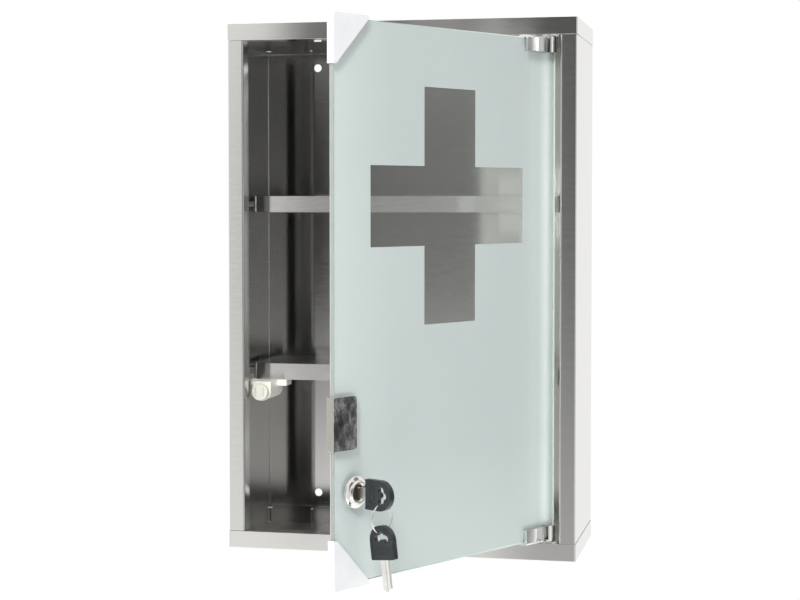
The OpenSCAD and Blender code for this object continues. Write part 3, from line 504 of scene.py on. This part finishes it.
# Brightness round the object, by bearing in degrees from +X; the camera stands at -79. The levels
# were set to put the metal's dark and bright reflections where the photo has them.
LEVEL_BAND = [                                  # at the object's own height
    (-180, 0.95), (-171, 0.95), (-168, 0.68), (-156, 0.68), (-152, 0.95), (-112, 0.98),
    (-107.7, 0.79), (-106.6, 0.70), (-106, 0.42), (-105.4, 0.06), (-104.9, 0.0), (-104.6, 0.08),
    (-103, 0.20), (-99.75, 0.23), (-99.65, 0.85), (-98.1, 0.85), (-97.9, 0.16), (-96, 0.16),
    (-90, 0.05), (-76, 0.08), (-70, 0.10), (-50, 0.50), (-35, 0.95), (2, 1.0), (6, 0.24),
    (22.62, 0.26), (22.65, 3.0), (22.79, 3.0), (22.82, 0.9), (26, 1.0), (180, 1.0),
]
LEVEL_ABOVE = [                                 # from a little above
    (-180, 0.95), (-112, 1.05), (-107.7, 1.12), (-106.6, 1.0), (-106.2, 0.78), (-105.8, 0.56),
    (-105.4, 0.36), (-105, 0.30), (-102.5, 0.20), (-102.2, 0.26), (-102, 0.44), (-100.7, 0.42),
    (-99.6, 0.34), (-99.1, 0.30), (-98.8, 0.10), (-96, 0.11), (-90, 0.05), (-76, 0.05),
    (-70, 0.06), (-50, 0.50), (-35, 0.95), (2, 1.0), (6, 0.24), (22.62, 0.26), (22.65, 3.0),
    (22.79, 3.0), (22.82, 0.9), (26, 1.0), (180, 1.0),
]
LEVEL_BELOW = [                                 # the table in front
    (-180, 1.10), (-171, 1.10), (-168, 0.70), (-156, 0.70), (-152, 1.10), (-104, 1.12),
    (-100.4, 1.15), (-98.4, 0.60), (-85, 0.62), (-73, 0.80), (-60, 0.75), (-35, 0.95),
    (2, 1.0), (6, 0.27), (22.62, 0.27), (22.65, 1.4), (22.79, 1.4), (22.82, 0.9), (26, 1.0),
    (180, 1.0),
]
SECTORS = [-180, -112, -92, 16, 26, 180]        # a ramp has 256 steps, so each sector has its own


def level_at(levels, bearing):
    for (b0, v0), (b1, v1) in zip(levels, levels[1:]):
        if b0 <= bearing <= b1:
            return v0 + (v1 - v0) * (bearing - b0) / (b1 - b0)
    return levels[-1][1]


def around(tree, bearing, levels):
    """Brightness by bearing, made of one ramp for each sector."""
    level = None
    for start, end in zip(SECTORS, SECTORS[1:]):
        inside = [(b, v) for b, v in levels if start < b < end]
        stops = [(start, level_at(levels, start))] + inside + [(end, level_at(levels, end))]
        part = ramp(tree, to_range(tree, bearing, start, end, 0, 1),
                    [((b - start) / (end - start), v) for b, v in stops])
        if level is None:
            level = part
        else:
            past = math_node(tree, "GREATER_THAN", bearing, start)
            level = add(tree, "ShaderNodeMix", {"Factor": past, "A": level, "B": part},
                        data_type="FLOAT").outputs[0]
    return level


def make_world():
    """Bright studio all round, with a dark gap behind the camera and a dark card at the right."""
    world = bpy.data.worlds.new("studio")
    bpy.context.scene.world = world
    world.use_nodes = True
    tree = world.node_tree
    tree.nodes.clear()
    direction = add(tree, "ShaderNodeTexCoord").outputs["Generated"]
    x, y, z = add(tree, "ShaderNodeSeparateXYZ", {0: direction}).outputs
    bearing = math_node(tree, "DEGREES", math_node(tree, "ARCTAN2", y, x))
    band = around(tree, bearing, LEVEL_BAND)
    above = around(tree, bearing, LEVEL_ABOVE)
    below = around(tree, bearing, LEVEL_BELOW)
    upward = to_range(tree, z, 0.055, 0.09, 0, 1)
    downward = to_range(tree, z, -0.05, -0.19, 0, 1)
    level = add(tree, "ShaderNodeMix", {"Factor": upward, "A": band, "B": above},
                data_type="FLOAT").outputs[0]
    level = add(tree, "ShaderNodeMix", {"Factor": downward, "A": level, "B": below},
                data_type="FLOAT").outputs[0]
    overhead = to_range(tree, z, 0.34, 0.62, 0.0, 1.1)
    level = math_node(tree, "MAXIMUM", level, overhead)
    studio = add(tree, "ShaderNodeBackground", {"Color": (1, 0.995, 0.985, 1), "Strength": level})
    white = add(tree, "ShaderNodeBackground", {"Color": (1, 1, 1, 1), "Strength": 1.0})
    seen = add(tree, "ShaderNodeLightPath").outputs["Is Camera Ray"]
    mixed = add(tree, "ShaderNodeMixShader", {0: seen, 1: studio.outputs[0], 2: white.outputs[0]})
    add(tree, "ShaderNodeOutputWorld", {"Surface": mixed.outputs[0]})


LAMPS = [                                       # name, place, aim, size in metres, watts
    ("key_lamp", (0.25, -2.6, 1.7), (0, -0.05, 0), (0.6, 0.8), 58),
    ("fill_lamp", (1.3, -1.1, -0.9), (0.05, -0.2, -0.1), (0.8, 0.8), 15),
    ("side_lamp", (-2.0, -1.0, 0.35), (0.05, -0.2, 0), (1.4, 1.4), 44),
]


def make_lamp(name, at, aim, size, power):
    data = bpy.data.lights.new(name, "AREA")
    data.shape = "RECTANGLE"
    data.size, data.size_y = size
    data.energy = power
    lamp = bpy.data.objects.new(name, data)
    lamp.location = at
    lamp.visible_glossy = False                 # the metal mirrors the studio, not the lamps
    lamp.rotation_euler = (Vector(aim) - Vector(at)).to_track_quat("-Z", "Y").to_euler()
    bpy.context.scene.collection.objects.link(lamp)
    return lamp


def make_floor():
    """Pale floor well below the cabinet; it keeps the shadow and shows white to the camera."""
    mesh = bmesh.new()
    bmesh.ops.create_grid(mesh, x_segments=2, y_segments=2, size=1.6)
    data = bpy.data.meshes.new("floor")
    mesh.to_mesh(data)
    mesh.free()
    floor = bpy.data.objects.new("floor", data)
    floor.location = (0, 0, cad_bounds[0][2] - FLOOR_DROP)
    bpy.context.scene.collection.objects.link(floor)
    material, tree = new_material("floor_white")
    diffuse = add(tree, "ShaderNodeBsdfDiffuse", {"Color": (0.86, 0.86, 0.86, 1)})
    seen = add(tree, "ShaderNodeLightPath").outputs["Is Camera Ray"]
    lift = add(tree, "ShaderNodeEmission", {"Color": (1, 1, 1, 1),
                                            "Strength": math_node(tree, "MULTIPLY", seen, 0.5)})
    both = add(tree, "ShaderNodeAddShader", {0: diffuse.outputs[0], 1: lift.outputs[0]})
    finish_material(tree, both.outputs[0])
    data.materials.append(material)


bpy.context.scene.view_settings.view_transform = "Standard"
make_camera()
make_world()
make_floor()
for lamp_settings in LAMPS:
    make_lamp(*lamp_settings)

MATERIALS = make_materials()
SLOTS = {s["node"]: s["material_slot"] for s in frame["record"]["subparts"]}
for node_name, width in BEVELS.items():
    dress(node_name, SLOTS[node_name], width)
for node_name, width in FOLDED.items():
    dress_folded(node_name, SLOTS[node_name], width)
dress_glass()
dress_film()
dress_push_plate()
